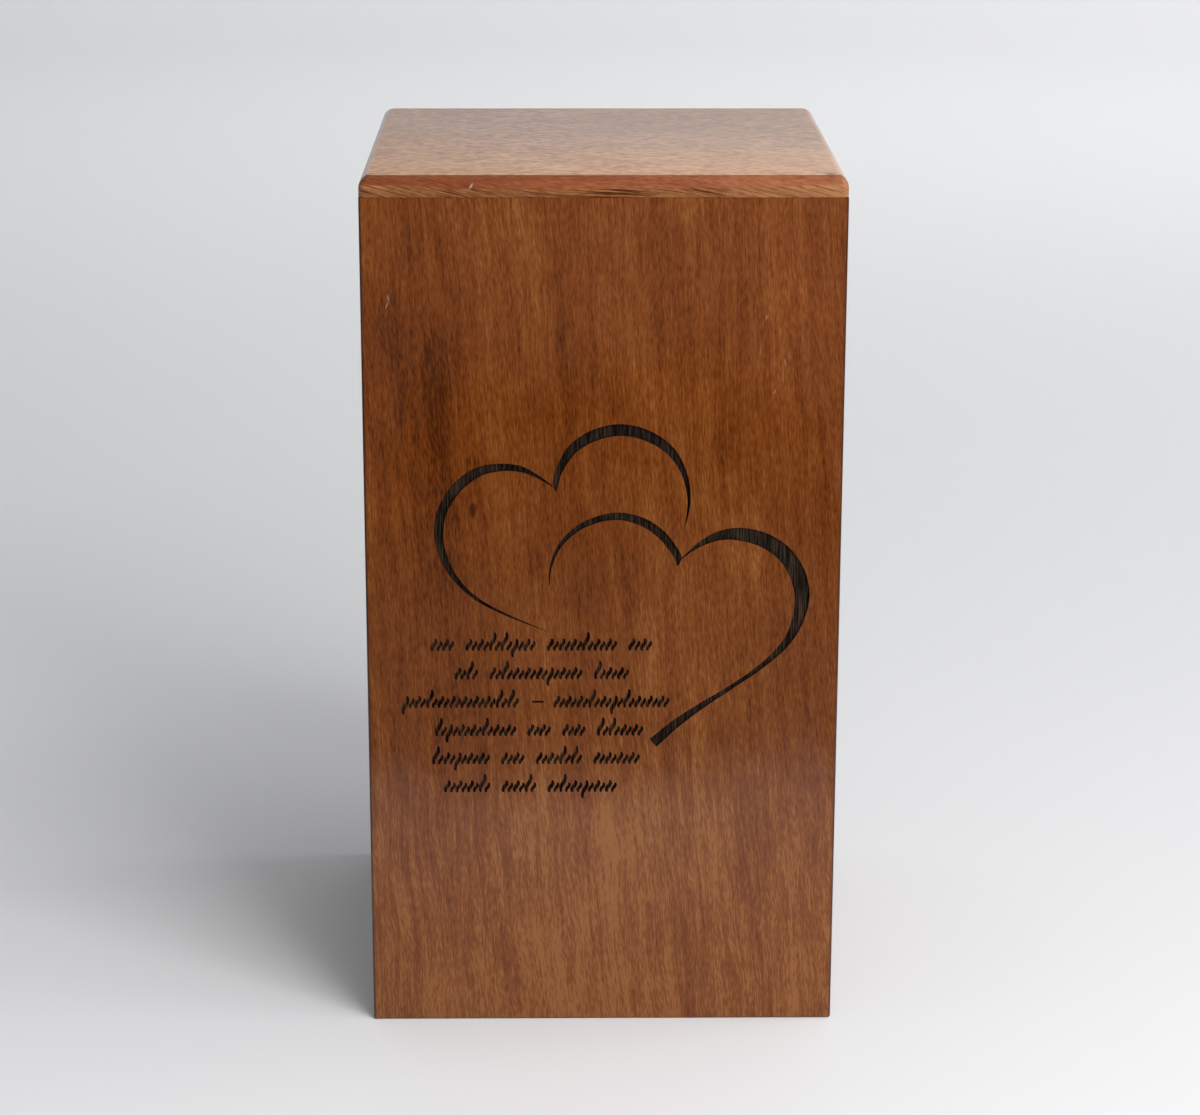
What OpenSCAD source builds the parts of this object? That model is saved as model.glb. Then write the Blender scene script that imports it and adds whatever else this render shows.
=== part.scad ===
// Wooden urn box with a lift-off lid. Two linked hearts and rows of short strokes are cut into
// its front. Millimetres, +Z up, front towards -Y, origin in the middle of the underside.

/* [Box] */
// Width of the box across its front
box_w = 140; // [110:1:160]
// Depth of the box from front to back
box_d = 140; // [110:1:200]
// Height of the box with its lid on
box_h = 260; // [216:1:340]
// Thickness of the four mitred wall boards
wall_t = 9; // [6:0.5:14]
// Thickness of the base board, let in flush between the walls
base_t = 8; // [5:0.5:14]
// Rounding of the upright corners
arris_r = 0.8; // [0.4:0.1:3]

/* [Lid] */
// Thickness of the lid above the walls
lid_t = 6.2; // [5:0.1:14]
// How far the rounded edge of the lid reaches in from the side
moulding_w = 2.5; // [1.5:0.1:5]
// How far the rounded edge of the lid reaches down from the top
moulding_h = 3.8; // [2:0.1:4.8]
// Rounding of the lid's corners, seen from above
lid_corner_r = 2; // [0.5:0.1:6]
// Depth of the lip under the lid that drops between the walls
lip_h = 4; // [2:0.5:10]
// Gap between the lip and each wall
lip_gap = 0.4; // [0.2:0.1:1]

/* [Carving] */
// Plain wood left on each side of the carving
carving_margin = 9; // [4:0.5:20]
// Plain wood left under the carving
carving_foot = 70; // [50:1:75]
// Depth of the hearts
heart_depth = 1; // [0.4:0.1:3]

/* [Rows of strokes] */
// Depth of the strokes
stroke_depth = 0.8; // [0.4:0.1:2]
// Height of a short stroke
stroke_h = 3.7; // [2:0.1:4.5]
// How much further a tall stroke reaches up, or a low stroke down
stroke_reach = 2; // [0:0.1:2.2]
// Width of a thick stroke at its middle
stroke_w = 1.1; // [0.5:0.1:1.3]
// Lean of the strokes away from upright, in degrees
stroke_lean = 12; // [0:1:20]
// Distance from one thick stroke to the next
stroke_pitch = 3.45; // [3:0.05:3.6]
// Distance from one row to the next
row_pitch = 8.9; // [8.5:0.1:9.5]
// Height of the top row above the foot of the carving
rows_top = 48.5; // [46:0.5:50]

/* [Hidden] */
$fn = 64;

FRONT_COLOUR = [0.54, 0.29, 0.14];
SIDE_COLOUR = [0.48, 0.25, 0.12];
BASE_COLOUR = [0.42, 0.24, 0.13];
LID_COLOUR = [0.62, 0.38, 0.25];

wall_h = box_h - lid_t;
inside_w = box_w - 2 * wall_t;
inside_d = box_d - 2 * wall_t;

// The carving is drawn 122 mm wide and grows or shrinks with the room that the front gives it
DRAWN_W = 122;
carving_scale = (box_w - 2 * carving_margin) / DRAWN_W;

// The heart lines as they are drawn: across from the middle, up from the carving's foot, and
// how wide the cut is there. Each heart is two lines that meet at its cleft.
HEART_LINES = [
    [
        [-15, 99, 0.3], [-20, 102.25, 1.1], [-25, 104.25, 1.9], [-31, 104.5, 2.4],
        [-37, 103, 2.9], [-43, 98.25, 3.1], [-47, 91.75, 2.9], [-48.25, 84.5, 2.7],
        [-46.75, 76.75, 2.2], [-42.5, 69.5, 1.5], [-36.5, 64, 1], [-28.25, 59.5, 0.6],
        [-16.5, 54.5, 0.1],
    ],
    [
        [-13.75, 97.25, 0.1], [-14, 99.5, 1.7], [-12.75, 104, 2.2], [-9, 110, 2.9],
        [-3, 114, 3.4], [4.5, 115.75, 3.5], [12.25, 114.25, 3.3], [19.25, 109.75, 2.7],
        [23.5, 103, 1.7], [25, 96, 1], [24.75, 90.5, 0.6], [23.75, 86, 0.1],
    ],
    [
        [-16, 68.5, 0.1], [-15.25, 75, 0.7], [-12.25, 81.5, 1.2], [-6, 87, 1.7],
        [3, 89.75, 2.2], [11, 88.25, 2.5], [17, 84.25, 2.6], [20.75, 79.5, 2.4],
        [22, 77, 2.1], [22, 75.5, 1], [21.75, 74.5, 0.1],
    ],
    [
        [23, 76.75, 0.3], [25.5, 79, 0.7], [29, 81.5, 1.6], [34, 83.75, 2.8],
        [40, 84.25, 3.9], [47, 82.5, 4.5], [53.25, 78.25, 4.7], [57.25, 72, 4.8],
        [58.75, 65, 4.4], [57.5, 57.5, 3.4], [54, 50.5, 2.3], [47, 43.5, 1.5],
        [38.5, 37.25, 1.3], [29.5, 31.25, 1.9], [22, 25.75, 2.6], [15, 19.5, 3.2],
    ],
];
HEART_STEPS = 4;

// The left end of each row as it is drawn, and how many strokes stand in each of its groups.
// A group of one is a level dash.
ROWS = [
    [-50.5, [2, 6, 6, 2]],
    [-43.5, [2, 8, 3]],
    [-59, [10, 1, 10]],
    [-49.5, [7, 2, 2, 4]],
    [-50.5, [5, 2, 4, 4]],
    [-47, [4, 3, 6]],
];
STROKE_STEPS = 3;
THIN_SHARE = 0.8;
THIN_TOP = 0.8;
TIP_SHARE = 0.5;
CUT_CLEARANCE = 1;

// The point between b and c on a smooth curve that passes through a, b, c and d
function between(a, b, c, d, t) =
    b + ((c - a) + ((2 * a - 5 * b + 4 * c - d) + (3 * b - a - 3 * c + d) * t) * t) * t / 2;

// Knot i of a line, reflected past the line's two ends
function knot(line, i) =
    i < 0 ? 2 * line[0] - line[1]
    : i >= len(line) ? 2 * line[len(line) - 1] - line[len(line) - 2]
    : line[i];

// A line with its stretches between knots filled in
function smooth(line) = [
    for (i = [0 : len(line) - 2], step = [0 : HEART_STEPS - 1])
        between(knot(line, i - 1), line[i], line[i + 1], knot(line, i + 2), step / HEART_STEPS),
    line[len(line) - 1],
];

// Which way the line runs at point i, in the plane of the front
function heading(line, i) =
    let (ahead = knot(line, i + 1) - knot(line, i - 1), flat = [ahead[0], ahead[1]])
    flat / norm(flat);

// The edge of a cut that follows a line, on its left for side = 1 and on its right for side = -1
function edge(line, side) = [
    for (i = [0 : len(line) - 1])
        let (along = heading(line, i), half = side * line[i][2] / 2)
        [line[i][0] - half * along[1], line[i][1] + half * along[0]],
];

function backwards(list) = [for (i = [len(list) - 1 : -1 : 0]) list[i]];

// How many places come before group g of a row, counting one empty place after each group
function places_before(groups, g) =
    g == 0 ? 0 : places_before(groups, g - 1) + groups[g - 1] + 1;

// Tall strokes and low strokes come round in turn, out of step from row to row
function is_tall(row, place) = (5 * place + 3 * row) % 7 == 2 || (3 * place + row) % 11 == 4;
function is_low(row, place) = !is_tall(row, place) && (4 * place + 5 * row) % 9 == 1;

module rounded_plan(w, d, r) {
    square([w - 2 * r, d], center = true);
    square([w, d - 2 * r], center = true);
    for (x = [-1, 1], y = [-1, 1])
        translate([x * (w / 2 - r), y * (d / 2 - r)])
            circle(r);
}

// A flat shape as wide as its line says at each point
module ribbon(line) {
    polygon(carving_scale * concat(edge(line, 1), backwards(edge(line, -1))));
}

// A leaning stroke from one height to another, narrow at its ends and bent like a grass blade
module stroke(x, low, high, w) {
    ribbon([
        for (step = [0 : STROKE_STEPS])
            let (t = step / STROKE_STEPS, z = low + (high - low) * t)
            [
                x + z * tan(stroke_lean) - w / 3 * sin(360 * t),
                z,
                w * (TIP_SHARE + (1 - TIP_SHARE) * sin(180 * t)),
            ],
    ]);
}

module dash(x) {
    level = stroke_h / 2;
    ribbon([[x, level, stroke_w * TIP_SHARE], [x + stroke_pitch, level, stroke_w / 2]]);
}

// A thick stroke and the thin one that follows it
module stroke_pair(row, place) {
    x = place * stroke_pitch;
    low = is_low(row, place) ? -stroke_reach : 0;
    high = is_tall(row, place) ? stroke_h + stroke_reach : stroke_h;
    stroke(x, low, high, stroke_w);
    stroke(x + stroke_pitch / 2, 0, stroke_h * THIN_TOP, stroke_w * THIN_SHARE);
}

module row_of_strokes(row) {
    groups = ROWS[row][1];
    translate(carving_scale * [ROWS[row][0], rows_top - row * row_pitch])
        for (g = [0 : len(groups) - 1]) {
            start = places_before(groups, g);
            if (groups[g] == 1)
                dash(start * stroke_pitch);
            else
                for (i = [0 : groups[g] - 1])
                    stroke_pair(row, start + i);
        }
}

// A flat shape sunk into the front face, with the cutter standing clear of the face
module sunk(depth) {
    translate([0, depth - box_d / 2, carving_foot])
        rotate([90, 0, 0])
            linear_extrude(depth + CUT_CLEARANCE)
                children();
}

module carving() {
    sunk(heart_depth)
        for (line = HEART_LINES)
            ribbon(smooth(line));
    sunk(stroke_depth)
        for (row = [0 : len(ROWS) - 1])
            row_of_strokes(row);
}

// A wall board that spans corner to corner, mitred at both ends, turned to its side of the box
module wall(turn, span, reach) {
    intersection() {
        rotate([0, 0, turn])
            linear_extrude(wall_h)
                polygon([
                    [-span / 2, -reach],
                    [span / 2, -reach],
                    [span / 2 - wall_t, wall_t - reach],
                    [wall_t - span / 2, wall_t - reach],
                ]);
        linear_extrude(wall_h)
            rounded_plan(box_w, box_d, arris_r);
    }
}

// The lid's side view: a straight edge below, then an arc that leans in to the flat top
module lid_profile(w) {
    arc_r = (moulding_w ^ 2 + moulding_h ^ 2) / (2 * moulding_w);
    spring = lid_t - moulding_h;
    intersection() {
        translate([-w / 2, 0])
            square([w, lid_t]);
        union() {
            translate([-w / 2, 0])
                square([w, spring]);
            translate([arc_r - w / 2, spring])
                square([w - 2 * arc_r, moulding_h]);
            for (side = [-1, 1])
                translate([side * (w / 2 - arc_r), spring])
                    circle(arc_r);
        }
    }
}

module front_board() {
    color(FRONT_COLOUR)
        difference() {
            wall(0, box_w, box_d / 2);
            carving();
        }
}

module back_board() {
    color(SIDE_COLOUR)
        wall(180, box_w, box_d / 2);
}

module left_board() {
    color(SIDE_COLOUR)
        wall(270, box_d, box_w / 2);
}

module right_board() {
    color(SIDE_COLOUR)
        wall(90, box_d, box_w / 2);
}

module base_board() {
    color(BASE_COLOUR)
        translate([-inside_w / 2, -inside_d / 2, 0])
            cube([inside_w, inside_d, base_t]);
}

module lid() {
    color(LID_COLOUR) {
        translate([0, 0, wall_h])
            intersection() {
                rotate([90, 0, 0])
                    linear_extrude(box_d, center = true)
                        lid_profile(box_w);
                rotate([90, 0, 90])
                    linear_extrude(box_w, center = true)
                        lid_profile(box_d);
                linear_extrude(lid_t)
                    rounded_plan(box_w, box_d, lid_corner_r);
            }
        translate([lip_gap - inside_w / 2, lip_gap - inside_d / 2, wall_h - lip_h])
            cube([inside_w - 2 * lip_gap, inside_d - 2 * lip_gap, lip_h]);
    }
}

front_board();
back_board();
left_board();
right_board();
base_board();
lid();
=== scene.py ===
"""Looks of a wooden urn box: four mitred walls, a base board and a lift-off lid in satin
varnish, with two linked hearts and rows of short strokes burnt into the front."""

import math

import bpy
from mathutils import Matrix, Vector


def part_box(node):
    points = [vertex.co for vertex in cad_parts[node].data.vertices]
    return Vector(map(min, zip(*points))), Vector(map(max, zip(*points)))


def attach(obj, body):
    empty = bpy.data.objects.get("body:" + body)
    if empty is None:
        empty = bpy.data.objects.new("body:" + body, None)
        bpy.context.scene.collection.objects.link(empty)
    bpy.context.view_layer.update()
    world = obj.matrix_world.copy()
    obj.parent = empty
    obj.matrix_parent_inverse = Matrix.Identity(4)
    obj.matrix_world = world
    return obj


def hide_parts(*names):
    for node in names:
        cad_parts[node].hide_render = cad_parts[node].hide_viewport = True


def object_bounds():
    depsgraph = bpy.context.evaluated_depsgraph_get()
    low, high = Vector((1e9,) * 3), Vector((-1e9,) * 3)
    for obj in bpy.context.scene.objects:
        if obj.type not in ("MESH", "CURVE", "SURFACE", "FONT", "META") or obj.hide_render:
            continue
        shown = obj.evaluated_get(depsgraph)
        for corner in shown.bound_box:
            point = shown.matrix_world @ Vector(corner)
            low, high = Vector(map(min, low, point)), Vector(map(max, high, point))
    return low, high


MM = 0.001
# How near counts as the same height, how steep counts as upright, and up to what angle in
# degrees neighbouring faces shade as one
ROUNDING = 1e-6
NEARLY = 0.99
SMOOTH_UP_TO = 30

# Boards: roundings and widths, and how many flat steps a rounding takes
ARRIS_R = 0.8 * MM
ARRIS_STEPS = 5
EASED_EDGE = 0.18 * MM
EASED_STEPS = 2
FOOT_EDGE = 0.7 * MM
FOOT_STEPS = 4
LID_CORNER_R = 2 * MM
LID_CORNER_STEPS = 8
MOULDING_W = 2.5 * MM
MOULDING_H = 3.8 * MM
MOULDING_STEPS = 10
LIP_GAP = 0.4 * MM
BASE_STEPS = 1

# Carving, drawn in millimetres across from the middle and up from its foot
CARVING_FOOT = 70
HEART_DEPTH = 1 * MM
STROKE_DEPTH = 0.8 * MM
CUTTER_CLEARANCE = 2 * MM
HEART_STEPS = 10
# The points of each line of the hearts: across, up, and how wide the cut is there
HEART_LINES = {
    "far_heart_left": [
        (-15, 99, 0.3), (-20, 102.25, 1.1), (-25, 104.25, 1.9), (-31, 104.5, 2.4),
        (-37, 103, 2.9), (-43, 98.25, 3.1), (-47, 91.75, 2.9), (-48.25, 84.5, 2.7),
        (-46.75, 76.75, 2.2), (-42.5, 69.5, 1.5), (-36.5, 64, 1), (-28.25, 59.5, 0.6),
        (-16.5, 54.5, 0.1),
    ],
    "far_heart_right": [
        (-13.75, 97.25, 0.1), (-14, 99.5, 1.7), (-12.75, 104, 2.2), (-9, 110, 2.9),
        (-3, 114, 3.4), (4.5, 115.75, 3.5), (12.25, 114.25, 3.3), (19.25, 109.75, 2.7),
        (23.5, 103, 1.7), (25, 96, 1), (24.75, 90.5, 0.6), (23.75, 86, 0.1),
    ],
    "near_heart_left": [
        (-16, 68.5, 0.1), (-15.25, 75, 0.7), (-12.25, 81.5, 1.2), (-6, 87, 1.7),
        (3, 89.75, 2.2), (11, 88.25, 2.5), (17, 84.25, 2.6), (20.75, 79.5, 2.4),
        (22, 77, 2.1), (22, 75.5, 1), (21.75, 74.5, 0.1),
    ],
    "near_heart_right": [
        (23, 76.75, 0.3), (25.5, 79, 0.7), (29, 81.5, 1.6), (34, 83.75, 2.8),
        (40, 84.25, 3.9), (47, 82.5, 4.5), (53.25, 78.25, 4.7), (57.25, 72, 4.8),
        (58.75, 65, 4.4), (57.5, 57.5, 3.4), (54, 50.5, 2.3), (47, 43.5, 1.5),
        (38.5, 37.25, 1.3), (29.5, 31.25, 1.9), (22, 25.75, 2.6), (15, 19.5, 3.2),
    ],
}
# Each row's left end, and how many strokes stand in each of its groups. One alone is a dash.
ROWS = [
    (-50.5, [2, 6, 6, 2]),
    (-43.5, [2, 8, 3]),
    (-59, [10, 1, 10]),
    (-49.5, [7, 2, 2, 4]),
    (-50.5, [5, 2, 4, 4]),
    (-47, [4, 3, 6]),
]
ROWS_TOP = 48.5
ROW_PITCH = 8.9
STROKE_PITCH = 3.45
STROKE_H = 3.7
STROKE_REACH = 2
STROKE_W = 1.2
STROKE_LEAN = math.radians(12)
STROKE_STEPS = 8
# A stroke's width divided by its bend is how far it bends sideways. A thin one has a share of
# the width and the height, and all narrow to a share of their width at their tips.
STROKE_BEND = 3
THIN_W_SHARE = 0.85
THIN_H_SHARE = 0.8
TIP_SHARE = 0.5

# Camera: metres from the middle of the underside, turns in degrees, lens in millimetres
CAMERA_PLACE = (-0.0125, -0.9655, 0.4047)
CAMERA_YAW = 0.74
CAMERA_PITCH = 16.04
CAMERA_ROLL = 0.1
CAMERA_LENS = 95.08
SENSOR_W = 36

# Stage, in metres: a pale floor that curves up at its rim, and a dark card
FLOOR_R = 3.6
COVE_R = 1.2
COVE_H = 2.4
COVE_STEPS = 12
COVE_SIDES = 96
COVE_SMOOTH = 60
PALE_FLOOR = (0.67, 0.67, 0.678)
FLOOR_ROUGHNESS = 0.7
DARK_CARD_FROM = -0.27
DARK_CARD_W = 5
DARK_CARD_REACH = 2.5
DARK_CARD_H = 0.002
BLACK_PAPER = (0.01, 0.01, 0.01)

# Lights, in metres and watts. A softbox has its degrees round from the right towards the
# front, its degrees up, its power, and whether the varnish mirrors it.
LIGHT_AIM = Vector((0, 0, 0.1))
SOFTBOX_AWAY = 1.6
SOFTBOX_SIZE = 0.9
SOFTBOXES = [
    ("right_softbox", 5, 45, 8.4, True),
    ("front_right_softbox", 55, 20, 17.9, False),
    ("high_softbox", 55, 45, 12.4, False),
    ("front_softbox", 80, 20, 6.3, False),
]
# The lights on the wall behind: how far across each hangs, and its power. Each aims a
# little further across, at a place behind the box.
WALL_LIGHTS = [("wall_light", 0, 16.6), ("right_wall_light", 1.3, 29.5)]
WALL_LIGHT_BACK = 1.4
WALL_LIGHT_H = 1.9
WALL_LIGHT_SIZE = 1
WALL_LIGHT_SPREAD = 1.3
WALL_LIGHT_AIM = (3.4, 0.5)
OVERHEAD_PLACE = (0, 0.3, 2.2)
OVERHEAD_AIM = (0, 0.3, 0)
OVERHEAD_SIZE = 1.6
OVERHEAD_POWER = 2.2
ROOM_COLOUR = (0.94, 0.97, 1)
ROOM_STRENGTH = 0.34

# Turns that bring the length of a board upright in its material, and a half turn
UPRIGHT = (0, 0, 0)
ALONG_X = (0, math.radians(-90), math.radians(90))
HALF_TURN = math.pi

# Varnish and char: how strongly they mirror, how rough they are, and how deep their grain is
VARNISH_SHINE = 0.36
VARNISH_GRAIN = 0.01 * MM
WALL_ROUGHNESS = 0.17
LID_ROUGHNESS = 0.22
LID_TOP_DULLER = 0.2
LID_TOP_COAT = 0.5
LID_TOP_COAT_ROUGHNESS = 0.3
BARE_ROUGHNESS = 0.64
BARE_GRAIN = 0.04 * MM
BURNT_SHINE = 0.04
BURNT_ROUGHNESS = 0.75
BURNT_GRAIN = 0.12 * MM

# Noise starts a number of steps away, so that no two marks are alike. Each wood's number is
# its first, and its other marks take the next ones.
SEED_STEP = (7.3, 3.1, 5.9)
FRONT_SEED = 1
BACK_SEED = 11
LEFT_SEED = 15
RIGHT_SEED = 22
LID_SEED = 31
BARE_WALL_SEED = 41
BARE_LEVEL_SEED = 51
BURNT_SEED = 61
LID_TOP_SEED = 63

# How far the grain's lines stray sideways: the size of a bend across, through and along the
# grain in millimetres, its detail, and how strongly it shows
WANDER = ((45, 45, 140), 0, 9)
SWAY = ((11, 30, 34), 0, 1.7)
SHIVER = ((3.5, 8, 11), 0, 0.4)
# Curly grain sways and shivers this much more
CURLY_SWAY = 2
CURLY_SHIVER = 0.6

# Lighter and darker marks in the wood and the char, given in the same way
BANDS = ((16, 16, 260), 1, 0.4)
RIBBONS = ((5, 6, 75), 1, 0.42)
MOTTLE = ((13, 20, 24), 1, 0.3)
STREAKS = ((1.5, 2, 26), 1, 0.5)
THREADS = ((0.45, 0.6, 13), 1, 0.55)
TICKS = ((0.42, 0.6, 2.4), 0, 0.7)
SPECKLE = ((3, 4, 4.5), 1, 0.24)
RAGGED_EDGES = ((3, 3, 30), 1, 1)
LID_FLECKS = ((1.2, 2, 2.8), 1, 1.7)
LID_DASHES = ((1, 2, 13), 1, 1.1)
LID_MOTTLE = ((3.4, 2, 2.2), 0, 0.5)
LID_CLOUDS = ((16, 20, 34), 1, 0.3)
CREASE_COMB = ((6, 0.7, 12), 0, 1.5)
CREASE_WAVE = ((30, 30, 22), 1, 0.8)
BAND_LINES = ((3, 0.33, 22), 0, 1)
BURNT_LINES = ((0.4, 0.75, 9), 1, 1)
SOOT = ((5, 5, 7), 1, 0.35)
# Pores: their size, their soft rim as shares of it, and their darkness
PORE_SIZE = (0.6, 0.6, 3.6)
PORE_RIM = (0.06, 0.3)
PORE_DARKNESS = 0.2

# Tone of plain wood, on a ramp from 0 for dark to 1 for pale, and how far the grain leans
# sideways for each millimetre along
MIDDLE_TONE = 0.52
WALL_LEAN = 0.075
LEVEL_LEAN = 0.02
BARE_LEAN = 0.03

# Wood colours from dark to pale, as stops of a ramp: a tone, and the colour there
WALL_WOOD = [
    (0.00, (0.036, 0.0075, 0.0005)),
    (0.20, (0.070, 0.0150, 0.0010)),
    (0.40, (0.092, 0.0212, 0.0022)),
    (0.55, (0.108, 0.0272, 0.0038)),
    (0.75, (0.133, 0.0392, 0.0066)),
    (1.00, (0.180, 0.0640, 0.0150)),
]
LID_WOOD = [
    (0.00, (0.050, 0.0150, 0.0040)),
    (0.30, (0.105, 0.0330, 0.0085)),
    (0.55, (0.155, 0.0550, 0.0175)),
    (1.00, (0.270, 0.1180, 0.0480)),
]
MOULDING_WOOD = [
    (0.00, (0.070, 0.0150, 0.0040)),
    (0.50, (0.150, 0.0390, 0.0120)),
    (1.00, (0.230, 0.0800, 0.0320)),
]
# The lid top's pale colour holds a painted sheen
LID_TOP_WOOD_AND_SHEEN = [
    (0.00, (0.180, 0.0680, 0.0240)),
    (0.40, (0.300, 0.1350, 0.0580)),
    (1.00, (0.480, 0.2750, 0.1540)),
]
BARE_WOOD = [
    (0.00, (0.170, 0.0700, 0.0300)),
    (0.50, (0.300, 0.1500, 0.0750)),
    (1.00, (0.420, 0.2400, 0.1350)),
]
# Soft lighter and darker places in the front board's figure: across, up, half their width,
# half their height, the lean of their top to the left in degrees, and how much paler
FRONT_FIGURE = [
    (0, 5, 220, 105, 0, 0.30),
    (-52, 120, 22, 230, 4, -0.15),
    (-53, 203, 20, 46, 4, -0.29),
    (-45, 163, 15, 44, 4, -0.11),
    (-22, 243, 12, 24, 5, 0.22),
    (-9, 207, 9, 38, 4, -0.18),
    (16, 247, 11, 18, 5, -0.18),
    (17, 226, 15, 34, 4, -0.14),
    (18, 116, 15, 26, 4, 0.18),
    (-6, 134, 8, 15, 0, -0.16),
    (2, 62, 11, 66, -3, 0.16),
    (46, 46, 9, 40, 5, -0.15),
    (-67, 142, 7, 60, 2, 0.14),
    (-66, 206, 8, 44, 2, -0.12),
    (63, 150, 10, 60, 3, -0.13),
    (44, 190, 10, 28, 3, -0.12),
    (-54, 130, 9, 36, 2, -0.14),
    (-44, 212, 10, 24, 3, -0.16),
    (23, 224, 13, 50, 3, -0.10),
    (-6, 160, 10, 38, 3, -0.10),
    (8, 152, 8, 26, 3, -0.12),
    (45, 150, 8, 15, 3, 0.16),
    (14, 70, 18, 22, 0, 0.12),
    (0, 58, 150, 34, 0, 0.11),
    (-38.2, 161.5, 1.3, 3.2, -4, -0.9),
]
# Fine scratches on the front: across, up, half their width, half their height, and lean
FRONT_SCRATCHES = [
    (-61.9, 224.9, 0.35, 1.7, 8),
    (-62.3, 222.7, 0.35, 1.9, -22),
    (47, 219, 0.25, 1.3, -20),
    (52.5, 206, 0.25, 1.6, 15),
    (49.5, 197, 0.25, 1.1, -30),
]
SCRATCHED = (0.42, 0.32, 0.22)
SCRATCH_SHARE = 0.32
# Half the size of a mark that goes right through the board
THROUGH_ALL = 1000

# Walls. A pair says from where to where a change runs, in millimetres up from the foot, or
# across from the middle. The grain is curly low down, a thin bluish haze lies over the
# middle, and the edges are darker: painted shade from dark reflections at the corners and
# foot and from the lid's contact at the head, with some stain and dirt.
CURLY_UP_TO = (55, 115)
CURLY_LIVELINESS = 0.22
CURLY_STREAKS = 0.2
CURLY_TICKS = -0.2
FRAY_ACROSS = 9
FRAY_ALONG = 30
FRAYED_FROM_W = 2
RAGGED_ROUGHNESS = 0.1
HAZE = (0.1, 0.24, 0.24)
HAZE_SHARE = 0.019
HAZE_COMES = (20, 80)
HAZE_GOES = (110, 190)
# The darker edges: painted shade from dark reflections at the corners and foot and from the lid's
# contact at the head, with some stain and dirt
EDGE_SHADE_AND_STAIN = (0.02, 0.006, 0.002)
CORNER_SHADE_AND_STAIN_SPAN = (69.0, 69.75)
CORNER_SHADE_AND_STAIN = 0.75
FOOT_SHADE_AND_STAIN_SPAN = (0.1, 0.7)
FOOT_SHADE_AND_STAIN = 0.35
HEAD_SHADE_AND_DIRT_SPAN = (253.2, 253.75)
HEAD_SHADE_AND_DIRT = 0.1

# Lid. A pair says from where to where a change runs, in millimetres down from its top, towards
# its front, or along to its ends. Its grain dives by a slope, and is levelled out in the
# middle. Its top is pale with a painted sheen, paler towards the front, its side edges are
# like the top, its front edge is red where it curves, and the band below that is pale with
# dark lines.
DIVE_SLOPE = 0.28
DIVE_MIDDLE = 0.04
DIVE_LEVEL = 5.7
TOP_ENDS = (0.02, 0.12)
TOP_TONE = 0.4
# The top's front is paler by a painted sheen: where it runs, and how much
TOP_PALER = (-25, 72)
TOP_FRONT_SHEEN = 0.32
TOP_PALER_RIGHT = 0.0004
SIDE_STARTS = (67.3, 67.7)
SIDE_STOPS = (64, 67)
SIDE_DOWN_TO = (2, 3.4)
SIDE_SHARE = 0.85
CURVE_DOWN_TO = (3.3, 3.8)
CURVE_RISES = (38, 70)
CURVE_RISE = 1.2
CURVE_TONE = 0.21
CURVE_LIVELINESS = 0.75
CURVE_PALER_RIGHT = 0.0044
BAND_TONE = 0.17
BAND_LIVELINESS = 0.7
BAND_LINE = (-0.17, -0.03)
BAND_LINE_DARKNESS = 0.6
BAND_PALER_RIGHT = 0.0024
BAND_PALER_ENDS = 0.004
# The lid's knot and nick: across, through and along the lid, and half their size each way
KNOT_PLACE = (66.5, -259.6, 64.8)
KNOT_SIZE = (6, 2.2, 2.4)
KNOT = (0.11, 0.036, 0.016)
KNOT_SHARE = 0.8
NICK_PLACE = (0, -257.1, -37.8)
NICK_SIZE = (THROUGH_ALL, 1.4, 0.5)
NICK_TURN = (-32, 0, 0)
NICK_SHARE = 0.55

# Cuts
CHAR = (0.0038, 0.0026, 0.0020)
PALE_CHAR = (0.036, 0.0225, 0.0145)
PALE_CHAR_FROM = (-0.14, 0.3)
# Part of the front that holds the carving: half its width, and its lowest and highest points
CARVED_HALF_W = 68 * MM
CARVED_LOW = 2 * MM
CARVED_HIGH = 250 * MM

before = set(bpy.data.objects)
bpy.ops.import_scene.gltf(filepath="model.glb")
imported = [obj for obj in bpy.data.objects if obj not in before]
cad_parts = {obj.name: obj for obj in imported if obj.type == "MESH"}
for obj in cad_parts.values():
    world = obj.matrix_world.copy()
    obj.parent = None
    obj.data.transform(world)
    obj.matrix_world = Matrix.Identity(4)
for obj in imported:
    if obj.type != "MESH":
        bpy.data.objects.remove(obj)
cad_low, cad_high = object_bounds()


# ---------------------------------------------------------------------------------------
# Shaping
# ---------------------------------------------------------------------------------------


def pick(piece, elements, wanted):
    """In edit mode, selects only the faces or edges that wanted() says yes to."""
    bpy.ops.object.mode_set(mode="EDIT")
    bpy.ops.mesh.select_mode(type="FACE" if elements == "polygons" else "EDGE")
    bpy.ops.mesh.select_all(action="DESELECT")
    bpy.ops.object.mode_set(mode="OBJECT")
    for element in getattr(piece.data, elements):
        element.select = wanted(element)
    bpy.ops.object.mode_set(mode="EDIT")


def edge_ends(piece, edge):
    """The two ends of an edge, as places."""
    return [piece.data.vertices[i].co for i in edge.vertices]


def add_block(name, low, high):
    """A block from its lowest to its highest corner, with its object at the origin."""
    bpy.ops.object.select_all(action="DESELECT")
    bpy.ops.mesh.primitive_cube_add(size=1, location=(low + high) / 2)
    block = bpy.context.object
    block.name = name
    block.scale = high - low
    bpy.ops.object.transform_apply(location=True, rotation=True, scale=True)
    return block


def round_edges(piece, wanted, radius, steps):
    """Rounds the edges that wanted() says yes to, given the edge's two ends."""
    pick(piece, "edges", lambda edge: wanted(*edge_ends(piece, edge)))
    bpy.ops.mesh.bevel(offset=radius, segments=steps, affect="EDGES", clamp_overlap=True)
    bpy.ops.object.mode_set(mode="OBJECT")


def is_upright(a, b):
    return abs((a - b).normalized().z) > NEARLY


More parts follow.
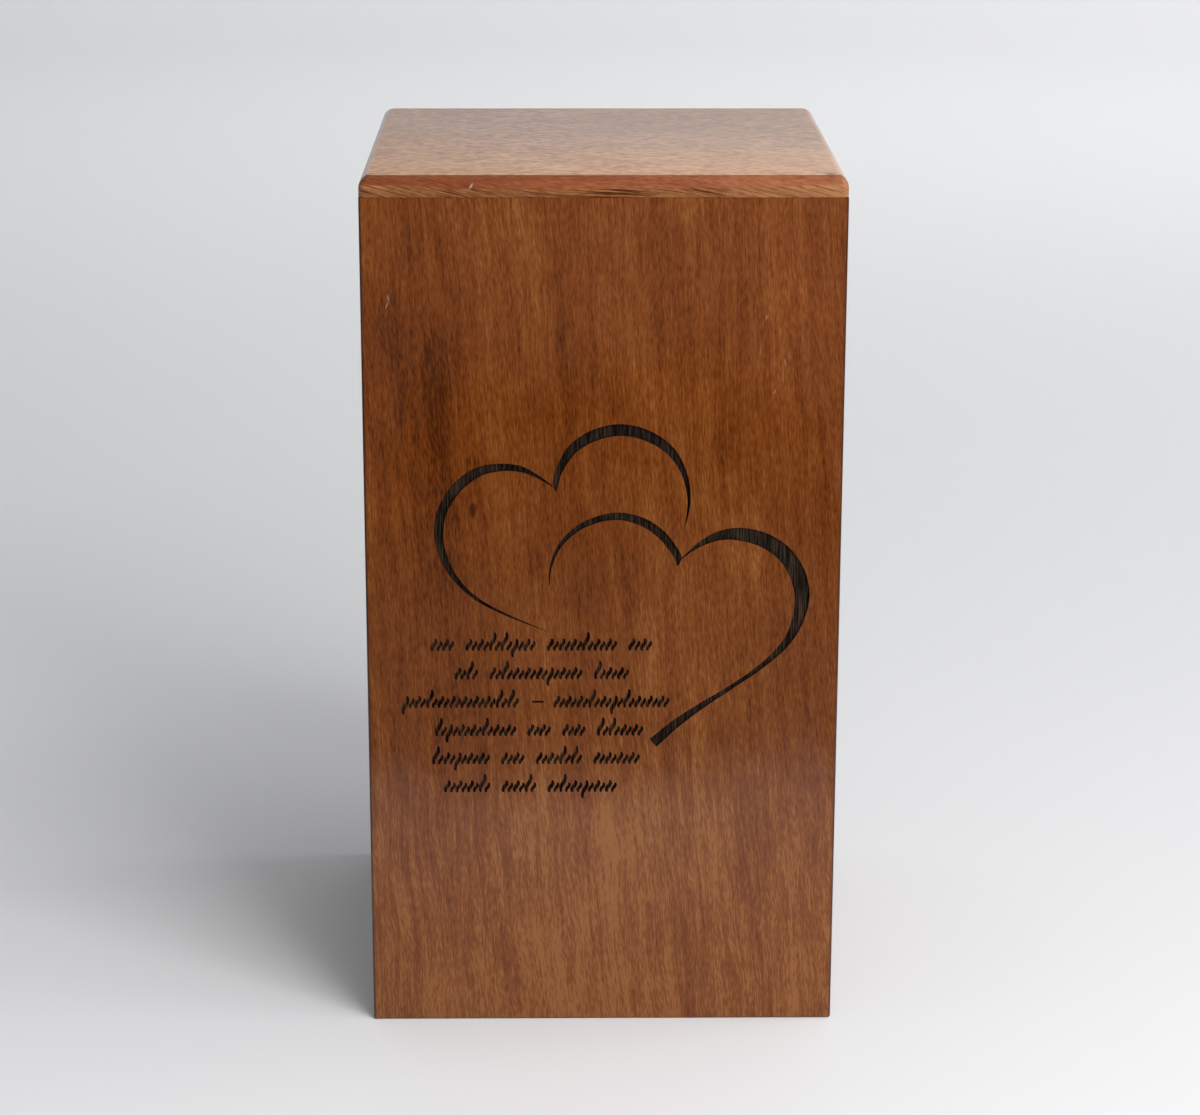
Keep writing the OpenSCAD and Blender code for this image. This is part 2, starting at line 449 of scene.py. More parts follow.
def level_at(height):
    """Says yes to edges that lie level at a height."""
    return lambda a, b: abs(a.z - height) < ROUNDING and abs(b.z - height) < ROUNDING


def smooth_by_angle(piece, degrees=SMOOTH_UP_TO):
    """Shades faces as one where they meet at less than an angle."""
    bpy.ops.object.select_all(action="DESELECT")
    piece.select_set(True)
    bpy.context.view_layer.objects.active = piece
    bpy.ops.object.shade_smooth_by_angle(angle=math.radians(degrees))


def trim(piece, point, outward):
    """Saws off what lies on the outward side of a plane, and closes the cut."""
    pick(piece, "polygons", lambda face: True)
    bpy.ops.mesh.bisect(plane_co=point, plane_no=outward, use_fill=True, clear_outer=True)
    bpy.ops.object.mode_set(mode="OBJECT")


def make_wall(name, node, turn, span, reach):
    """A wall board, mitred at both ends: made as the front one, then turned to its side.
    Its span is its width, and its reach is how far its outside lies from the box's middle."""
    low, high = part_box(node)
    thickness = min(high.x - low.x, high.y - low.y)
    board = add_block(
        name,
        Vector((-span / 2, -reach, low.z)),
        Vector((span / 2, thickness - reach, high.z)),
    )
    round_edges(
        board,
        lambda a, b: is_upright(a, b) and a.y < EASED_EDGE - reach,
        ARRIS_R,
        ARRIS_STEPS,
    )
    for side in (-1, 1):
        corner = Vector((side * span / 2, -reach, 0))
        trim(board, corner, Vector((side, 1, 0)).normalized())
    edges = ((low.z, FOOT_EDGE, FOOT_STEPS), (high.z, EASED_EDGE, EASED_STEPS))
    for height, radius, steps in edges:
        ends = level_at(height)
        round_edges(
            board,
            lambda a, b: ends(a, b) and max(a.y, b.y) < ARRIS_R + EASED_EDGE - reach,
            radius,
            steps,
        )
    board.rotation_euler.z = turn
    bpy.ops.object.transform_apply(location=True, rotation=True, scale=True)
    return board


# ---------------------------------------------------------------------------------------
# Carving
# ---------------------------------------------------------------------------------------


def on_curve(a, b, c, d, t):
    """The point between b and c on a smooth curve through a, b, c and d."""
    return b + ((c - a) + ((2 * a - 5 * b + 4 * c - d) + (3 * b - a - 3 * c + d) * t) * t) * t / 2


def filled_in(line, steps):
    """A line of knots, with each stretch between two of them filled in by steps."""
    knots = [Vector(knot) for knot in line]
    knots = [2 * knots[0] - knots[1], *knots, 2 * knots[-1] - knots[-2]]
    points = [
        on_curve(*knots[i : i + 4], step / steps)
        for i in range(len(knots) - 3)
        for step in range(steps)
    ]
    return points + [knots[-2]]


def outline(line):
    """The two edges of a cut that follows a line, joined into one ring of points."""
    left, right = [], []
    for i, point in enumerate(line):
        ahead = (line[min(i + 1, len(line) - 1)] - line[max(i - 1, 0)]).xy.normalized()
        across = Vector((-ahead.y, ahead.x)) * point.z / 2
        left.append(point.xy + across)
        right.append(point.xy - across)
    return left + right[::-1]


def add_cutter(name, line, depth):
    """A cutter in front of the box whose section is a ring of points around a line."""
    ring = outline(line)
    bpy.ops.object.select_all(action="DESELECT")
    bpy.ops.mesh.primitive_circle_add(vertices=len(ring), fill_type="NGON")
    cutter = bpy.context.object
    cutter.name = name
    floor = cad_low.y + depth
    for vertex, point in zip(cutter.data.vertices, ring):
        vertex.co = (point.x * MM, floor, (point.y + CARVING_FOOT) * MM)
    bpy.ops.object.mode_set(mode="EDIT")
    bpy.ops.mesh.select_all(action="SELECT")
    bpy.ops.mesh.extrude_region_move(
        TRANSFORM_OT_translate={"value": (0, -depth - CUTTER_CLEARANCE, 0)}
    )
    bpy.ops.mesh.select_all(action="SELECT")
    bpy.ops.mesh.normals_make_consistent(inside=False)
    bpy.ops.object.mode_set(mode="OBJECT")
    return cutter


def stroke_line(low, high, width):
    """A leaning stroke, narrow at its ends and bent like a grass blade."""
    line = []
    for step in range(STROKE_STEPS + 1):
        t = step / STROKE_STEPS
        z = low + (high - low) * t
        x = z * math.tan(STROKE_LEAN) - width / STROKE_BEND * math.sin(math.tau * t)
        share = TIP_SHARE + (1 - TIP_SHARE) * math.sin(math.pi * t)
        line.append(Vector((x, z, width * share)))
    return line


def dash_line():
    """A short level stroke, half-way up the row."""
    level = STROKE_H / 2
    return [
        Vector((0, level, STROKE_W * TIP_SHARE)),
        Vector((STROKE_PITCH / 2, level, STROKE_W / 2)),
        Vector((STROKE_PITCH, level, STROKE_W / 2)),
    ]


def is_tall(row, place):
    """A counting rule that spreads the tall strokes unevenly."""
    return (5 * place + 3 * row) % 7 == 2 or (3 * place + row) % 11 == 4


def is_low(row, place):
    """A counting rule for the strokes that reach below the row."""
    return not is_tall(row, place) and (4 * place + 5 * row) % 9 == 1


def stroke_kind(row, place):
    if is_tall(row, place):
        return "tall"
    return "low" if is_low(row, place) else "short"


def stroke_places():
    """Every stroke's kind, and its place across and up. All but dashes have a thin one next."""
    for row, (left, groups) in enumerate(ROWS):
        base = ROWS_TOP - row * ROW_PITCH
        place = 0
        for count in groups:
            for i in range(count):
                x = left + place * STROKE_PITCH
                if count == 1:
                    yield "dash", x, base
                else:
                    yield stroke_kind(row, place), x, base
                    yield "thin", x + STROKE_PITCH / 2, base
                place += 1
            place += 1


def join(pieces, name):
    """Makes one object of several."""
    bpy.ops.object.select_all(action="DESELECT")
    for piece in pieces:
        piece.select_set(True)
    bpy.context.view_layer.objects.active = pieces[0]
    bpy.ops.object.join()
    pieces[0].name = name
    return pieces[0]


def make_stroke_cutters():
    """All the strokes' cutters as one: each kind is made once and copied to its places."""
    kinds = {
        "short": stroke_line(0, STROKE_H, STROKE_W),
        "tall": stroke_line(0, STROKE_H + STROKE_REACH, STROKE_W),
        "low": stroke_line(-STROKE_REACH, STROKE_H, STROKE_W),
        "thin": stroke_line(0, STROKE_H * THIN_H_SHARE, STROKE_W * THIN_W_SHARE),
        "dash": dash_line(),
    }
    masters = {kind: add_cutter(kind, line, STROKE_DEPTH) for kind, line in kinds.items()}
    copies = []
    for kind, x, z in stroke_places():
        copy = masters[kind].copy()
        copy.data = masters[kind].data.copy()
        copy.data.transform(Matrix.Translation((x * MM, 0, z * MM)))
        bpy.context.scene.collection.objects.link(copy)
        copies.append(copy)
    for master in masters.values():
        bpy.data.objects.remove(master)
    return join(copies, "stroke_cutters")


def carve(board, cutter):
    """Cuts a cutter's shape out of a board, and clears the cutter away."""
    bpy.context.view_layer.objects.active = board
    cut = board.modifiers.new("cut", "BOOLEAN")
    cut.operation = "DIFFERENCE"
    cut.solver = "EXACT"
    cut.object = cutter
    bpy.ops.object.modifier_apply(modifier=cut.name)
    bpy.data.objects.remove(cutter)


def make_front():
    """The front wall, with the hearts and the strokes cut into it."""
    reach = -cad_low.y
    board = make_wall("front", "front_board", 0, cad_high.x - cad_low.x, reach)
    for name, line in HEART_LINES.items():
        carve(board, add_cutter(name, filled_in(line, HEART_STEPS), HEART_DEPTH))
    carve(board, make_stroke_cutters())
    return board


# ---------------------------------------------------------------------------------------
# Lid and base
# ---------------------------------------------------------------------------------------


def make_lid():
    """A board with an arc run round its upper edge. Its lip comes after."""
    lid_low, lid_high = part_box("lid")
    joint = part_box("front_board")[1].z
    spring = lid_high.z - MOULDING_H
    lid = add_block(
        "lid_board",
        Vector((lid_low.x, lid_low.y, joint)),
        Vector((lid_high.x, lid_high.y, spring)),
    )
    round_edges(lid, is_upright, LID_CORNER_R, LID_CORNER_STEPS)
    round_edges(lid, level_at(joint), EASED_EDGE, EASED_STEPS)
    pick(lid, "polygons", lambda face: face.normal.z > NEARLY)
    arc_r = (MOULDING_W**2 + MOULDING_H**2) / (2 * MOULDING_W)
    sweep = math.asin(MOULDING_H / arc_r)
    half = Vector((lid_high.x - lid_low.x, lid_high.y - lid_low.y)) / 2
    taken = 0
    risen = 0
    for step in range(1, MOULDING_STEPS + 1):
        angle = sweep * step / MOULDING_STEPS
        inset = arc_r * (1 - math.cos(angle))
        rise = arc_r * math.sin(angle)
        bpy.ops.mesh.extrude_region_move(TRANSFORM_OT_translate={"value": (0, 0, rise - risen)})
        shrink_x = (half.x - inset) / (half.x - taken)
        shrink_y = (half.y - inset) / (half.y - taken)
        bpy.ops.transform.resize(value=(shrink_x, shrink_y, 1), center_override=(0, 0, 0))
        taken, risen = inset, rise
    bpy.ops.object.mode_set(mode="OBJECT")
    return lid


def add_lip(lid):
    """Draws the lip down out of the lid's underside, between the walls."""
    lid_low, lid_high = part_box("lid")
    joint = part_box("front_board")[1].z
    underside_x = lid_high.x - EASED_EDGE
    lip_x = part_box("base_board")[1].x - LIP_GAP
    pick(lid, "polygons", lambda face: face.normal.z < -NEARLY)
    bpy.ops.mesh.inset(thickness=underside_x - lip_x, use_even_offset=True)
    bpy.ops.mesh.extrude_region_move(TRANSFORM_OT_translate={"value": (0, 0, lid_low.z - joint)})
    bpy.ops.object.mode_set(mode="OBJECT")


def make_base():
    """The board let in flush between the walls."""
    low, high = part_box("base_board")
    base = add_block("base", low, high)
    round_edges(base, lambda a, b: True, EASED_EDGE, BASE_STEPS)
    return base


# ---------------------------------------------------------------------------------------
# Finishes
# ---------------------------------------------------------------------------------------


class Reading:
    """A number that varies over a surface. An operator on it adds the Math node it needs."""

    def __init__(self, finish, socket):
        self.finish = finish
        self.socket = socket

    def __add__(self, other):
        return self.finish.maths("ADD", self, other)

    def __radd__(self, other):
        return self.finish.maths("ADD", other, self)

    def __sub__(self, other):
        return self.finish.maths("SUBTRACT", self, other)

    def __rsub__(self, other):
        return self.finish.maths("SUBTRACT", other, self)

    def __mul__(self, other):
        return self.finish.maths("MULTIPLY", self, other)

    def __rmul__(self, other):
        return self.finish.maths("MULTIPLY", other, self)

    def __abs__(self):
        return self.finish.maths("ABSOLUTE", self)


class Finish:
    """A material, and the nodes that make its finish."""

    def __init__(self, name):
        self.material = bpy.data.materials.new(name)
        self.material.use_nodes = True
        self.tree = self.material.node_tree
        self.shader = self.tree.nodes["Principled BSDF"]

    def set_input(self, socket, value):
        if isinstance(value, Reading):
            self.tree.links.new(value.socket, socket)
        elif socket.type == "RGBA":
            socket.default_value = (*value, 1)
        else:
            socket.default_value = value

    def set_stops(self, ramp, stops):
        while len(ramp.elements) < len(stops):
            ramp.elements.new(1)
        for element, (place, colour) in zip(ramp.elements, stops):
            element.position = place
            element.color = (*colour, 1)

    def add(self, kind, settings, inputs, output=0):
        """Adds a node by its type, its settings, and the values or links of its sockets."""
        node = self.tree.nodes.new("ShaderNode" + kind)
        for name, value in settings.items():
            if name == "stops":
                self.set_stops(node.color_ramp, value)
            else:
                setattr(node, name, value)
        for name, value in inputs.items():
            self.set_input(node.inputs[name], value)
        return Reading(self, node.outputs[output])

    def maths(self, operation, *values):
        inputs = dict(enumerate(values))
        return self.add("Math", {"operation": operation}, inputs)

    def between(self, value, low, high):
        """0 up to low, 1 from high, and a smooth rise in the middle."""
        inputs = {"Value": value, "From Min": low, "From Max": high}
        return self.add("MapRange", {"interpolation_type": "SMOOTHSTEP"}, inputs)

    def mixed(self, share, first, second):
        """Two colours, mixed by the share of the second."""
        return self.add("Mix", {"data_type": "RGBA"}, {0: share, 6: first, 7: second}, 2)

    def ramp(self, stops, tone):
        return self.add("ValToRGB", {"stops": stops}, {"Fac": tone})

    def board_place(self, turn):
        """Where a point lies on a board, in millimetres across, through and along it."""
        inputs = {
            "Vector": self.add("TexCoord", {}, {}, "Object"),
            "Rotation": turn,
            "Scale": (1 / MM, 1 / MM, 1 / MM),
        }
        return self.add("Mapping", {}, inputs)

    def split(self, place):
        """The three parts of a place: across, through and along."""
        parts = self.add("SeparateXYZ", {}, {"Vector": place}).socket.node.outputs
        return [Reading(self, part) for part in parts]

    def joined(self, across, through, along):
        return self.add("CombineXYZ", {}, {0: across, 1: through, 2: along})

    def marks(self, place, kind, seed):
        """Soft noise about 0: its kind is its size, its detail and how strongly it shows."""
        size, detail, strength = kind
        inputs = {
            "Vector": place,
            "Location": tuple(part * seed for part in SEED_STEP),
            "Scale": tuple(1 / part for part in size),
        }
        fitted = self.add("Mapping", {}, inputs)
        inputs = {"Vector": fitted, "Scale": 1, "Detail": detail}
        return (self.add("TexNoise", {}, inputs) - 0.5) * strength

    def patch(self, place, middle, half_size, turn):
        """A soft oval: 1 in its middle, 0 from its edge on."""
        inputs = {
            "Vector": place,
            "Location": middle,
            "Rotation": [math.radians(part) for part in turn],
            "Scale": half_size,
        }
        fitted = self.add("Mapping", {"vector_type": "TEXTURE"}, inputs)
        near = self.add("TexGradient", {"gradient_type": "SPHERICAL"}, {"Vector": fitted}, 1)
        return self.between(near, 0, 1)


def grain(finish, place, seed, lean, curl):
    """The place with its grain lines straightened, so that noise drawn on it follows them."""
    across, through, along = finish.split(place)
    wander = finish.marks(place, WANDER, seed)
    sway = finish.marks(place, SWAY, seed + 1) * (1 + curl * (CURLY_SWAY / SWAY[2]))
    shiver = finish.marks(place, SHIVER, seed + 2) * (1 + curl * (CURLY_SHIVER / SHIVER[2]))
    return finish.joined(across + lean * along + wander + sway + shiver, through, along)


def wood_tone(finish, place, seed, lean, liveliness=1, curl=0):
    """How pale the wood is, about 0.5 in the middle, and the place along its grain."""
    fibres = grain(finish, place, seed, lean, curl)
    bands = finish.marks(fibres, BANDS, seed + 3)
    ribbons = finish.marks(fibres, RIBBONS, seed + 4)
    mottle = finish.marks(place, MOTTLE, seed + 5)
    streaks = finish.marks(fibres, STREAKS, seed + 6) * (1 + curl * CURLY_STREAKS)
    threads = finish.marks(fibres, THREADS, seed + 7)
    ticks = finish.marks(fibres, TICKS, seed + 8) * (1 + curl * CURLY_TICKS)
    speckle = finish.marks(place, SPECKLE, seed + 9)
    fine = streaks + threads + speckle + ticks
    inputs = {"Vector": fibres, "Scale": tuple(1 / part for part in PORE_SIZE)}
    pore = finish.add("TexVoronoi", {}, {"Vector": finish.add("Mapping", {}, inputs), "Scale": 1})
    pores = (1 - finish.between(pore, *PORE_RIM)) * PORE_DARKNESS
    tone = MIDDLE_TONE + bands + ribbons + mottle + fine * liveliness - pores
    return tone, fibres


def coated(finish, colour, relief, roughness, depth, shine=VARNISH_SHINE):
    """The material, with its colour, sheen and a fine relief of a depth."""
    finish.set_input(finish.shader.inputs["Base Color"], colour)
    finish.set_input(finish.shader.inputs["Roughness"], roughness)
    finish.set_input(finish.shader.inputs["Specular IOR Level"], shine)
    bump = finish.add("Bump", {}, {"Height": relief, "Distance": depth})
    finish.set_input(finish.shader.inputs["Normal"], bump)
    return finish.material


def with_figure(finish, tone, place, frayed, figure):
    """The tone with the figure's soft places laid over it. All but the small ones fray."""
    for x, z, half_width, half_height, slant, amount in figure:
        where = place if half_width < FRAYED_FROM_W else frayed
        half_size = (half_width, THROUGH_ALL, half_height)
        tone = tone + amount * finish.patch(where, (x, 0, z), half_size, (0, -slant, 0))
    return tone


def with_scratches(finish, colour, place, scratches):
    """The colour with fine pale scratches over it."""
    for x, z, half_width, half_height, slant in scratches:
        half_size = (half_width, THROUGH_ALL, half_height)
        line = finish.patch(place, (x, 0, z), half_size, (0, -slant, 0))
        colour = finish.mixed(line * SCRATCH_SHARE, colour, SCRATCHED)
    return colour


def edge_shade_and_stain_share(finish, across, along):
    """How dark a wall board is at its corners, foot and head: painted shade, with some stain and
    dirt.
    """
    corner = finish.between(abs(across), *CORNER_SHADE_AND_STAIN_SPAN) * CORNER_SHADE_AND_STAIN
    foot = (1 - finish.between(along, *FOOT_SHADE_AND_STAIN_SPAN)) * FOOT_SHADE_AND_STAIN
    head = finish.between(along, *HEAD_SHADE_AND_DIRT_SPAN) * HEAD_SHADE_AND_DIRT
    return finish.maths("MAXIMUM", corner, finish.maths("MAXIMUM", foot, head))


def make_wall_wood(name, turn, seed, figure, scratches):
    """Varnished red-brown wood of a wall board, with its grain upright and curly low down."""
    finish = Finish(name)
    place = finish.board_place((0, 0, -turn))
    across, through, along = finish.split(place)
    curly = 1 - finish.between(along, *CURLY_UP_TO)
    liveliness = 1 + curly * CURLY_LIVELINESS
    tone, fibres = wood_tone(finish, place, seed, WALL_LEAN, liveliness, curly)
    ragged = finish.marks(fibres, RAGGED_EDGES, seed + 10)
    frayed = finish.joined(across + ragged * FRAY_ACROSS, through, along + ragged * FRAY_ALONG)
    tone = with_figure(finish, tone, place, frayed, figure)
    haze = finish.between(along, *HAZE_COMES) * (1 - finish.between(along, *HAZE_GOES))
    colour = finish.ramp(WALL_WOOD, tone)
    colour = finish.mixed(haze * HAZE_SHARE, colour, HAZE)
    # Painted shade, with some stain and dirt, at the corners, the foot and the head
    colour = finish.mixed(edge_shade_and_stain_share(finish, across, along), colour, EDGE_SHADE_AND_STAIN)
    colour = with_scratches(finish, colour, place, scratches)
    roughness = WALL_ROUGHNESS + abs(ragged) * RAGGED_ROUGHNESS
    return coated(finish, colour, tone, roughness, VARNISH_GRAIN)


def lid_top_colour_and_sheen(finish, place, fibres):
    """The lid's flat top: pale wood with a painted sheen, paler still towards the front."""
    across, through, along = finish.split(place)
    flecks = finish.marks(place, LID_FLECKS, LID_TOP_SEED)
    dashes = finish.marks(fibres, LID_DASHES, LID_TOP_SEED + 2)
    mottle = finish.marks(place, LID_MOTTLE, LID_TOP_SEED + 3)
    clouds = finish.marks(place, LID_CLOUDS, LID_TOP_SEED + 4)
    # The paler front is a painted sheen
    paler = finish.between(across, *TOP_PALER) * TOP_FRONT_SHEEN + along * TOP_PALER_RIGHT
    return finish.ramp(LID_TOP_WOOD_AND_SHEEN, TOP_TONE + flecks + dashes + mottle + clouds + paler)


def lid_edge_colour(finish, place, fibres, tone, drop):
    """The lid's edge: red and smooth where it curves, and below that pale with dark lines."""
    across, through, along = finish.split(place)
    comb = finish.marks(fibres, CREASE_COMB, LID_SEED + 8)
    wave = finish.marks(place, CREASE_WAVE, LID_SEED + 7)
    rise = finish.between(abs(along), *CURVE_RISES) * CURVE_RISE
    curved = 1 - finish.between(drop + wave + comb + rise, *CURVE_DOWN_TO)
    curve_tone = CURVE_TONE + tone * CURVE_LIVELINESS + along * CURVE_PALER_RIGHT
    lines = 1 - finish.between(finish.marks(fibres, BAND_LINES, LID_SEED + 6), *BAND_LINE)
    band_tone = BAND_TONE + tone * BAND_LIVELINESS - lines * BAND_LINE_DARKNESS
    band_tone = band_tone + along * BAND_PALER_RIGHT + abs(along) * BAND_PALER_ENDS
    band = finish.ramp(LID_WOOD, band_tone)
    return finish.mixed(curved, band, finish.ramp(MOULDING_WOOD, curve_tone))


def make_lid_wood(lid_top):
    """The lid's paler wood, with its grain from side to side and diving at both ends."""
    finish = Finish("lid_wood")
    place = finish.board_place(ALONG_X)
    across, through, along = finish.split(place)
    dive = along * DIVE_SLOPE - finish.maths("TANH", along * DIVE_MIDDLE) * DIVE_LEVEL
    sloped = finish.joined(across, through - dive, along)
    tone, fibres = wood_tone(finish, sloped, LID_SEED, LEVEL_LEAN)
    drop = lid_top / MM + through
    flat = 1 - finish.between(drop, *TOP_ENDS)
    # The side mouldings take the top's colour, painted sheen and all
    side = finish.between(abs(along), *SIDE_STARTS) * (1 - finish.between(across, *SIDE_STOPS))
    side = side * (1 - finish.between(drop, *SIDE_DOWN_TO)) * SIDE_SHARE
    edge_colour = lid_edge_colour(finish, place, fibres, tone, drop)
    top_colour_and_sheen = lid_top_colour_and_sheen(finish, place, fibres)
    colour = finish.mixed(finish.maths("MAXIMUM", flat, side), edge_colour, top_colour_and_sheen)
    nick = finish.patch(place, NICK_PLACE, NICK_SIZE, NICK_TURN)
    colour = finish.mixed(nick * NICK_SHARE, colour, SCRATCHED)
    knot = finish.patch(place, KNOT_PLACE, KNOT_SIZE, (0, 0, 0))
    colour = finish.mixed(knot * KNOT_SHARE, colour, KNOT)
    finish.set_input(finish.shader.inputs["Coat Weight"], flat * LID_TOP_COAT)
    finish.set_input(finish.shader.inputs["Coat Roughness"], LID_TOP_COAT_ROUGHNESS)
    roughness = LID_ROUGHNESS + flat * LID_TOP_DULLER
    return coated(finish, colour, tone, roughness, VARNISH_GRAIN)


def make_bare_wood(name, turn, seed):
    """Plain sanded wood where the varnish doesn't reach."""
    finish = Finish(name)
    tone = wood_tone(finish, finish.board_place(turn), seed, BARE_LEAN)[0]
    return coated(finish, finish.ramp(BARE_WOOD, tone), tone, BARE_ROUGHNESS, BARE_GRAIN)


def make_burnt_wood():
    """Charred wood in the cuts, with the grain showing through as paler upright lines."""
    finish = Finish("burnt_wood")
    place = finish.board_place(UPRIGHT)
    lines = finish.marks(place, BURNT_LINES, BURNT_SEED)
    soot = finish.marks(place, SOOT, BURNT_SEED + 1)
    paleness = finish.between(lines + soot, *PALE_CHAR_FROM)
    colour = finish.mixed(paleness, CHAR, PALE_CHAR)
    return coated(finish, colour, lines, BURNT_ROUGHNESS, BURNT_GRAIN, BURNT_SHINE)


# ---------------------------------------------------------------------------------------
# Stage, light and camera
# ---------------------------------------------------------------------------------------


def plain_material(name, colour, roughness):
    """A material of one colour."""
    material = bpy.data.materials.new(name)
    material.use_nodes = True
    shader = material.node_tree.nodes["Principled BSDF"]
    shader.inputs["Base Color"].default_value = (*colour, 1)
    shader.inputs["Roughness"].default_value = roughness
    return material


def make_cove():
    """A round pale floor whose rim curves up into a wall, so that no horizon shows."""
    flat_r = FLOOR_R - COVE_R
    bpy.ops.object.select_all(action="DESELECT")
    bpy.ops.mesh.primitive_circle_add(vertices=COVE_SIDES, radius=flat_r, fill_type="NGON")
    cove = bpy.context.object
    cove.name = "floor"
    pick(cove, "edges", lambda edge: True)
    radius, height = flat_r, 0
    for step in range(1, COVE_STEPS + 1):
        angle = math.pi / 2 * step / COVE_STEPS
        new_radius = flat_r + COVE_R * math.sin(angle)
        new_height = COVE_R * (1 - math.cos(angle))
        rise = (0, 0, new_height - height)
        grow = new_radius / radius
        bpy.ops.mesh.extrude_edges_move(TRANSFORM_OT_translate={"value": rise})
        bpy.ops.transform.resize(value=(grow, grow, 1), center_override=(0, 0, 0))
        radius, height = new_radius, new_height
    bpy.ops.mesh.extrude_edges_move(TRANSFORM_OT_translate={"value": (0, 0, COVE_H - height)})
    bpy.ops.object.mode_set(mode="OBJECT")
    smooth_by_angle(cove, COVE_SMOOTH)
    cove.data.materials.append(plain_material("pale_floor", PALE_FLOOR, FLOOR_ROUGHNESS))


def make_dark_card():
    """A dark card low in front of the box, seen only in its varnish."""
    bpy.ops.object.select_all(action="DESELECT")
    bpy.ops.mesh.primitive_plane_add(size=1)
    card = bpy.context.object
    card.name = "dark_card"
    card.scale = (DARK_CARD_W, DARK_CARD_REACH, 1)
    card.location = (0, DARK_CARD_FROM - DARK_CARD_REACH / 2, DARK_CARD_H)
    bpy.ops.object.transform_apply(location=True, rotation=True, scale=True)
    card.data.materials.append(plain_material("dark_card", BLACK_PAPER, 1))
    card.visible_camera = False
    card.visible_diffuse = False
    card.visible_shadow = False
    card.visible_transmission = False


def add_area_light(name, place, target, size, power):
    """A square light at a place, turned towards its target."""
    light = bpy.data.lights.new(name, "AREA")
    light.shape = "SQUARE"
    light.size = size
    light.energy = power
    holder = bpy.data.objects.new(name, light)
    bpy.context.scene.collection.objects.link(holder)
    holder.location = place
    holder.rotation_euler = (Vector(target) - Vector(place)).to_track_quat("-Z", "Y").to_euler()
    return holder


def make_light():
    """Soft light from the right and front, with the wall behind lit on its own."""
    world = bpy.data.worlds.new("room_light")
    world.use_nodes = True
    room = world.node_tree.nodes["Background"]
    room.inputs["Color"].default_value = (*ROOM_COLOUR, 1)
    room.inputs["Strength"].default_value = ROOM_STRENGTH
    bpy.context.scene.world = world
    for name, turn, rise, power, mirrored in SOFTBOXES:
        turn, rise = math.radians(turn), math.radians(rise)
        level = math.cos(rise)
        away = Vector((math.cos(turn) * level, -math.sin(turn) * level, math.sin(rise)))
        place = LIGHT_AIM + away * SOFTBOX_AWAY
        softbox = add_area_light(name, place, LIGHT_AIM, SOFTBOX_SIZE, power)
        softbox.visible_glossy = mirrored
    for name, x, power in WALL_LIGHTS:
        place = (x, WALL_LIGHT_BACK, WALL_LIGHT_H)
        target = (WALL_LIGHT_SPREAD * x, *WALL_LIGHT_AIM)
        add_area_light(name, place, target, WALL_LIGHT_SIZE, power)
    add_area_light("overhead_light", OVERHEAD_PLACE, OVERHEAD_AIM, OVERHEAD_SIZE, OVERHEAD_POWER)


def make_camera():
    """The camera, a little above the box and looking down on it."""
    lens = bpy.data.cameras.new("camera")
    lens.lens = CAMERA_LENS
    lens.sensor_width = SENSOR_W
    camera = bpy.data.objects.new("camera", lens)
    bpy.context.scene.collection.objects.link(camera)
    turn = (
        Matrix.Rotation(math.radians(-CAMERA_YAW), 4, "Z")
        @ Matrix.Rotation(math.radians(90 - CAMERA_PITCH), 4, "X")
        @ Matrix.Rotation(math.radians(CAMERA_ROLL), 4, "Z")
    )
    camera.location = CAMERA_PLACE
    camera.rotation_euler = turn.to_euler()
    bpy.context.scene.camera = camera


# ---------------------------------------------------------------------------------------
# Which wood shows where
# ---------------------------------------------------------------------------------------


def give_looks(piece, node, outside, bare):
    """Gives a piece its woods, outside first, hangs it under the root, and hides its CAD node."""
    smooth_by_angle(piece)
    piece.data.materials.clear()
    piece.data.materials.append(outside)
    piece.data.materials.append(bare)
    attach(piece, "root")
    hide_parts(node)


def bare_inside(wall):
    """The faces of a wall board that look into the box show bare wood."""
    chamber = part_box("base_board")[1] + Vector((1, 1, 1)) * 10 * ROUNDING
    for face in wall.data.polygons:
        within = abs(face.center.x) < chamber.x and abs(face.center.y) < chamber.y
        face.material_index = int(within)


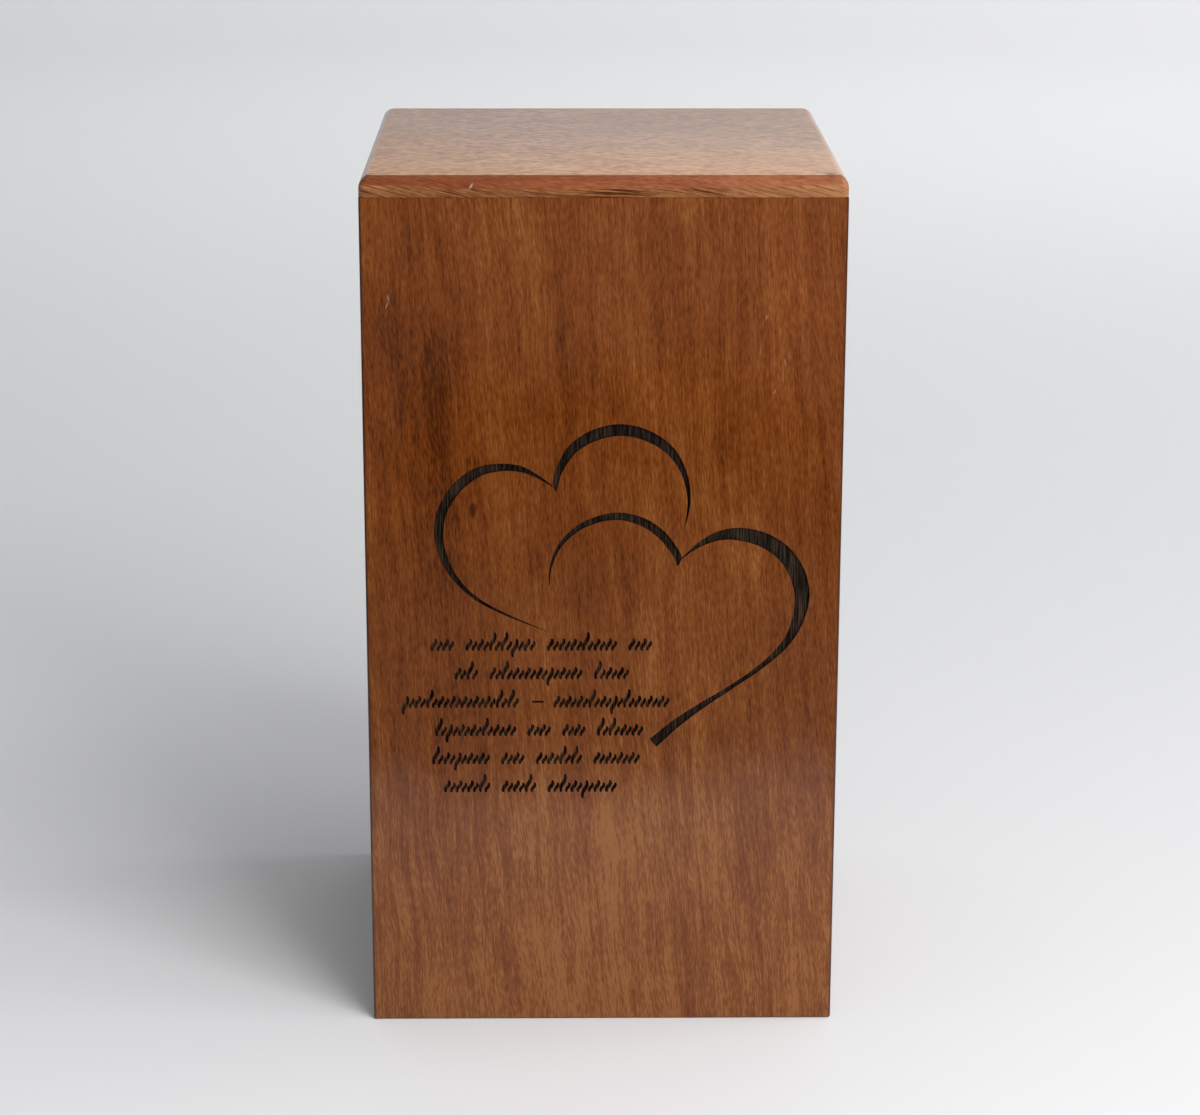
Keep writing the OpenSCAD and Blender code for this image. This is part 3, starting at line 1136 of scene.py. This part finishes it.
def bare_underneath(lid):
    """The lid's underside and lip show bare wood."""
    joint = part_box("front_board")[1].z
    for face in lid.data.polygons:
        inset = max(abs(face.center.x), abs(face.center.y)) < cad_high.x - EASED_EDGE
        face.material_index = int(inset and face.center.z < joint + ROUNDING)


def burn_cuts(front):
    """The faces of the cuts, just behind the front's face, show charred wood."""
    burnt = len(front.data.materials)
    front.data.materials.append(make_burnt_wood())
    face_plane = cad_low.y + EASED_EDGE / 10
    for face in front.data.polygons:
        corners = [front.data.vertices[i].co for i in face.vertices]
        carved = all(
            abs(corner.x) < CARVED_HALF_W and CARVED_LOW < corner.z < CARVED_HIGH
            for corner in corners
        )
        if carved and face_plane < face.center.y < cad_low.y + 2 * HEART_DEPTH:
            face.material_index = burnt


width, depth = cad_high.x - cad_low.x, cad_high.y - cad_low.y
front = make_front()
back = make_wall("back", "back_board", HALF_TURN, width, depth / 2)
left = make_wall("left", "left_board", -HALF_TURN / 2, depth, width / 2)
right = make_wall("right", "right_board", HALF_TURN / 2, depth, width / 2)
lid_board = make_lid()
add_lip(lid_board)
base = make_base()

front_wood = make_wall_wood("front_wood", 0, FRONT_SEED, FRONT_FIGURE, FRONT_SCRATCHES)
back_wood = make_wall_wood("back_wood", HALF_TURN, BACK_SEED, [], [])
left_wood = make_wall_wood("left_wood", -HALF_TURN / 2, LEFT_SEED, [], [])
right_wood = make_wall_wood("right_wood", HALF_TURN / 2, RIGHT_SEED, [], [])
bare_wall = make_bare_wood("bare_wall_wood", UPRIGHT, BARE_WALL_SEED)
bare_level = make_bare_wood("bare_base_wood", ALONG_X, BARE_LEVEL_SEED)
give_looks(front, "front_board", front_wood, bare_wall)
give_looks(back, "back_board", back_wood, bare_wall)
give_looks(left, "left_board", left_wood, bare_wall)
give_looks(right, "right_board", right_wood, bare_wall)
give_looks(base, "base_board", bare_level, bare_level)
give_looks(lid_board, "lid", make_lid_wood(cad_high.z), bare_level)
for wall in (front, back, left, right):
    bare_inside(wall)
bare_underneath(lid_board)
burn_cuts(front)

make_cove()
make_dark_card()
make_light()
make_camera()
bpy.context.scene.view_settings.view_transform = "Standard"
